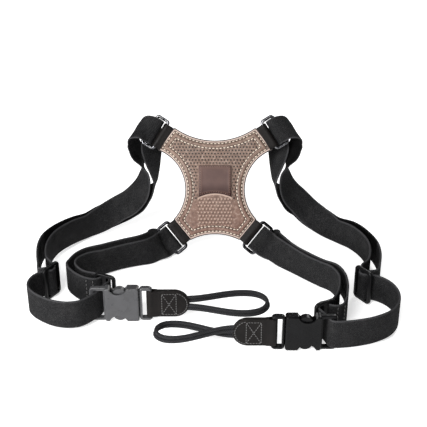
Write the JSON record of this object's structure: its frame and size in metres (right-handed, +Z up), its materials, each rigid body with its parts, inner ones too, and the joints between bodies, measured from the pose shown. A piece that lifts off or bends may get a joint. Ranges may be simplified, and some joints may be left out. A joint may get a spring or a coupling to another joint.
{
  "type": "binocular harness",
  "caption": "Strap harness with a four-armed leather back plate, metal rings, adjustable webbing loops, side-release buckles and cord loops that hold binoculars.",
  "frame": {"origin": "centre of the footprint of everything but the cord loops, on the surface that the harness stands on", "axes": "+X across the harness towards the wearer's other side, +Y from the cord loops to the back plate, +Z up"},
  "size_m": [0.3068, 0.2326, 0.1175],
  "materials": {
    "leather_tan": "matte",
    "lining": "matte",
    "foam": "matte",
    "patch_leather": "satin",
    "leather_black": "satin",
    "ring_metal": "gloss",
    "webbing_black": "matte",
    "hardware_black": "satin",
    "cord_black": "matte"
  },
  "bodies": {
    "harness": {"back_leather": "leather_tan", "foam_pad": "foam", "back_lining": "lining", "front_patch": "patch_leather", "hanger_top_left": "leather_black", "hanger_top_right": "leather_black", "hanger_low_left": "leather_black", "hanger_low_right": "leather_black", "shoulder_strap_front_left": "webbing_black", "shoulder_strap_back_left": "webbing_black", "underarm_strap_inner_left": "webbing_black", "underarm_strap_outer_left": "webbing_black", "chest_strap_left": "webbing_black", "socket_left": "hardware_black", "shoulder_strap_front_right": "webbing_black", "shoulder_strap_back_right": "webbing_black", "underarm_strap_inner_right": "webbing_black", "underarm_strap_outer_right": "webbing_black", "chest_strap_right": "webbing_black", "socket_right": "hardware_black"},
    "ring_top_left": {"ring_top_left": "ring_metal"},
    "ring_top_right": {"ring_top_right": "ring_metal"},
    "ring_low_left": {"ring_low_left": "ring_metal"},
    "ring_low_right": {"ring_low_right": "ring_metal"},
    "slider_upper_left": {"slider_upper_left": "hardware_black"},
    "slider_upper_right": {"slider_upper_right": "hardware_black"},
    "slider_lower_left": {"slider_lower_left": "hardware_black"},
    "slider_lower_right": {"slider_lower_right": "hardware_black"},
    "plug_left": {"plug_left": "hardware_black"},
    "prong_upper_left": {"prong_upper_left": "hardware_black"},
    "prong_lower_left": {"prong_lower_left": "hardware_black"},
    "cord_tab_left": {"cord_tab_left": "leather_black", "cord_high_left": "cord_black", "cord_low_left": "cord_black"},
    "plug_right": {"plug_right": "hardware_black"},
    "prong_upper_right": {"prong_upper_right": "hardware_black"},
    "prong_lower_right": {"prong_lower_right": "hardware_black"},
    "cord_tab_right": {"cord_tab_right": "leather_black", "cord_high_right": "cord_black", "cord_low_right": "cord_black"}
  },
  "joints": [
    {"name": "ring_top_left_swing", "type": "hinge", "parent": "harness", "child": "ring_top_left", "pos_m": [-0.04591, 0.09153, 0.09901], "axis": [-0.5301, -0.385, -0.7555], "range_deg": [-12, 12], "deforming": ["shoulder_strap_front_left", "shoulder_strap_back_left"]},
    {"name": "ring_top_right_swing", "type": "hinge", "parent": "harness", "child": "ring_top_right", "pos_m": [0.05472, 0.09153, 0.09901], "axis": [0.5301, -0.385, -0.7555], "range_deg": [-12, 12], "deforming": ["shoulder_strap_front_right", "shoulder_strap_back_right"]},
    {"name": "ring_low_left_swing", "type": "hinge", "parent": "harness", "child": "ring_low_left", "pos_m": [-0.03065, 0.05019, 0.01789], "axis": [0.6335, -0.3513, -0.6894], "range_deg": [-12, 12], "deforming": ["underarm_strap_inner_left", "underarm_strap_outer_left"]},
    {"name": "ring_low_right_swing", "type": "hinge", "parent": "harness", "child": "ring_low_right", "pos_m": [0.03946, 0.05019, 0.01789], "axis": [-0.6335, -0.3513, -0.6894], "range_deg": [-12, 12], "deforming": ["underarm_strap_inner_right", "underarm_strap_outer_right"]},
    {"name": "slider_upper_left_travel", "type": "slide", "parent": "harness", "child": "slider_upper_left", "axis": [0.5, 0.866, 0], "range_m": [-0.01, 0.014], "deforming": ["shoulder_strap_front_left", "shoulder_strap_back_left", "chest_strap_left"]},
    {"name": "slider_upper_right_travel", "type": "slide", "parent": "harness", "child": "slider_upper_right", "axis": [-0.5505, 0.8348, 0], "range_m": [-0.01, 0.014], "deforming": ["shoulder_strap_front_right", "shoulder_strap_back_right", "chest_strap_right"]},
    {"name": "slider_lower_left_travel", "type": "slide", "parent": "harness", "child": "slider_lower_left", "axis": [-0.9026, 0.4305, 0], "range_m": [-0.003, 0.014], "deforming": ["underarm_strap_inner_left", "underarm_strap_outer_left", "chest_strap_left"]},
    {"name": "slider_lower_right_travel", "type": "slide", "parent": "harness", "child": "slider_lower_right", "axis": [0.8643, 0.503, 0], "range_m": [-0.003, 0.014], "deforming": ["underarm_strap_inner_right", "underarm_strap_outer_right", "chest_strap_right"]},
    {"name": "plug_left_release", "type": "slide", "parent": "harness", "child": "plug_left", "axis": [1, 0, 0], "range_m": [0, 0.03], "deforming": ["prong_upper_left", "prong_lower_left"]},
    {"name": "prong_upper_left_squeeze", "type": "hinge", "parent": "plug_left", "child": "prong_upper_left", "pos_m": [-0.0581, -0.06576, 0.02729], "axis": [0, 1, 0], "range_deg": [-7, 0], "stiffness_Nm_per_rad": 0.04},
    {"name": "prong_lower_left_squeeze", "type": "hinge", "parent": "plug_left", "child": "prong_lower_left", "pos_m": [-0.0581, -0.06576, 0.00489], "axis": [0, 1, 0], "range_deg": [0, 7], "stiffness_Nm_per_rad": 0.04},
    {"name": "cord_tab_left_swing", "type": "hinge", "parent": "plug_left", "child": "cord_tab_left", "pos_m": [-0.0485, -0.06576, 0.01609], "axis": [0, 0, 1], "range_deg": [-5, 60]},
    {"name": "plug_right_release", "type": "slide", "parent": "harness", "child": "plug_right", "axis": [-1, 0, 0], "range_m": [0, 0.03], "deforming": ["prong_upper_right", "prong_lower_right"]},
    {"name": "prong_upper_right_squeeze", "type": "hinge", "parent": "plug_right", "child": "prong_upper_right", "pos_m": [0.0591, -0.10656, 0.02729], "axis": [0, -1, 0], "range_deg": [-7, 0], "stiffness_Nm_per_rad": 0.04},
    {"name": "prong_lower_right_squeeze", "type": "hinge", "parent": "plug_right", "child": "prong_lower_right", "pos_m": [0.0591, -0.10656, 0.00489], "axis": [0, -1, 0], "range_deg": [0, 7], "stiffness_Nm_per_rad": 0.04},
    {"name": "cord_tab_right_swing", "type": "hinge", "parent": "plug_right", "child": "cord_tab_right", "pos_m": [0.0495, -0.10656, 0.01609], "axis": [0, 0, 1], "range_deg": [-5, 60]}
  ],
  "couplings": [
    {"joint": "prong_lower_left_squeeze", "follows": "prong_upper_left_squeeze", "ratio": -1},
    {"joint": "prong_lower_right_squeeze", "follows": "prong_upper_right_squeeze", "ratio": -1}
  ]
}
